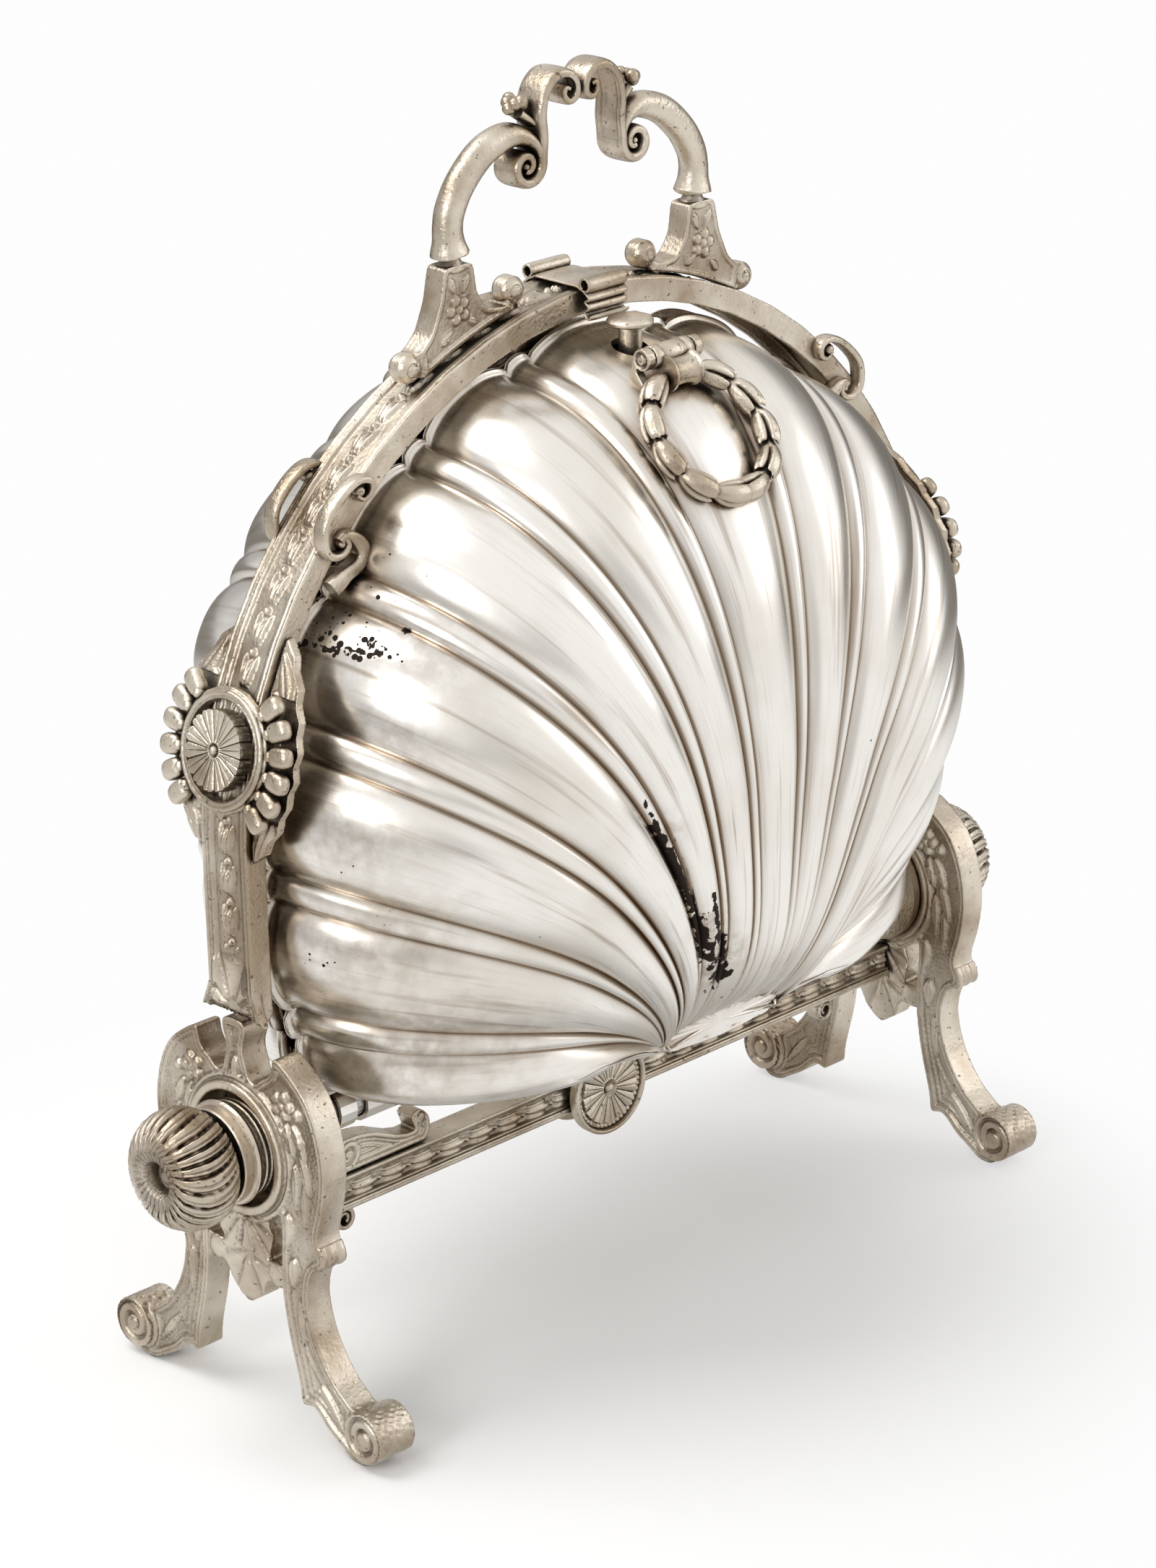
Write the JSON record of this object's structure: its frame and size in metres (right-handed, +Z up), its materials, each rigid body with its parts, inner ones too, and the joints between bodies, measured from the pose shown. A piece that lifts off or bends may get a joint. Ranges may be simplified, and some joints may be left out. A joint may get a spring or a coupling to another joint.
{
  "type": "folding biscuit box",
  "caption": "Folding biscuit box: fluted scallop shells hinged on an axle in a scroll-footed arched stand, with pull rings, push buttons and a carrying handle.",
  "frame": {"origin": "on the ground under the middle of the stand", "axes": "+X along the axle to the right, -Y to the front, +Z up"},
  "size_m": [0.252, 0.1224, 0.2759],
  "materials": {
    "cast_silver": "cast and chased silver plate, tarnished in its recesses",
    "shell_silver": "worn polished silver plate",
    "steel_fittings": "plain drawn metal"
  },
  "bodies": {
    "stand": {"arch_frame": "cast_silver", "axle_rod": "steel_fittings", "stretcher_bar": "cast_silver", "front_stretcher_rosette": "cast_silver", "back_stretcher_rosette": "cast_silver", "carrying_handle": "cast_silver", "latch_saddle": "cast_silver", "front_rim_clip": "cast_silver", "back_rim_clip": "cast_silver", "left_end_support": "cast_silver", "left_pivot_drum": "cast_silver", "left_knob": "cast_silver", "left_boss_collar": "cast_silver", "left_boss_rosette": "cast_silver", "left_stretcher_bracket": "cast_silver", "left_handle_foot": "cast_silver", "front_left_clasp": "cast_silver", "back_left_clasp": "cast_silver", "right_end_support": "cast_silver", "right_pivot_drum": "cast_silver", "right_knob": "cast_silver", "right_boss_collar": "cast_silver", "right_boss_rosette": "cast_silver", "right_stretcher_bracket": "cast_silver", "right_handle_foot": "cast_silver", "front_right_clasp": "cast_silver", "back_right_clasp": "cast_silver"},
    "front_leaf": {"front_shell": "shell_silver", "front_hinge_leaf": "shell_silver", "front_button_bridge": "steel_fittings", "front_button_spring": "steel_fittings", "front_ring_mount": "cast_silver"},
    "front_push_button": {"front_button": "cast_silver"},
    "front_lattice": {"front_grille": "shell_silver"},
    "front_pull_ring": {"front_wreath_ring": "cast_silver"},
    "back_leaf": {"back_shell": "shell_silver", "back_hinge_leaf": "shell_silver", "back_button_bridge": "steel_fittings", "back_button_spring": "steel_fittings", "back_ring_mount": "cast_silver"},
    "back_push_button": {"back_button": "cast_silver"},
    "back_lattice": {"back_grille": "shell_silver"},
    "back_pull_ring": {"back_wreath_ring": "cast_silver"}
  },
  "joints": [
    {"name": "front_shell_swing", "type": "hinge", "parent": "stand", "child": "front_leaf", "pos_m": [0, 0, 0.0624], "axis": [1, 0, 0], "range_deg": [0, 78]},
    {"name": "front_button_press", "type": "slide", "parent": "front_leaf", "child": "front_push_button", "axis": [0, 0, -1], "range_m": [0, 0.0025], "stiffness_N_per_m": 500, "deforming": ["front_button_spring"]},
    {"name": "front_grille_lift", "type": "hinge", "parent": "front_leaf", "child": "front_lattice", "pos_m": [0, 0, 0.0624], "axis": [1, 0, 0], "range_deg": [-48, 0]},
    {"name": "front_ring_swing", "type": "hinge", "parent": "front_leaf", "child": "front_pull_ring", "pos_m": [0, -0.0276, 0.21849], "axis": [-1, 0, 0], "range_deg": [0, 100]},
    {"name": "back_shell_swing", "type": "hinge", "parent": "stand", "child": "back_leaf", "pos_m": [0, 0, 0.0624], "axis": [-1, 0, 0], "range_deg": [0, 78]},
    {"name": "back_button_press", "type": "slide", "parent": "back_leaf", "child": "back_push_button", "axis": [0, 0, -1], "range_m": [0, 0.0025], "stiffness_N_per_m": 500, "deforming": ["back_button_spring"]},
    {"name": "back_grille_lift", "type": "hinge", "parent": "back_leaf", "child": "back_lattice", "pos_m": [0, 0, 0.0624], "axis": [-1, 0, 0], "range_deg": [-48, 0]},
    {"name": "back_ring_swing", "type": "hinge", "parent": "back_leaf", "child": "back_pull_ring", "pos_m": [0, 0.0276, 0.21849], "axis": [1, 0, 0], "range_deg": [0, 100]}
  ],
  "couplings": [
    {"joint": "front_grille_lift", "follows": "front_shell_swing", "ratio": -0.6},
    {"joint": "back_grille_lift", "follows": "back_shell_swing", "ratio": -0.6}
  ]
}
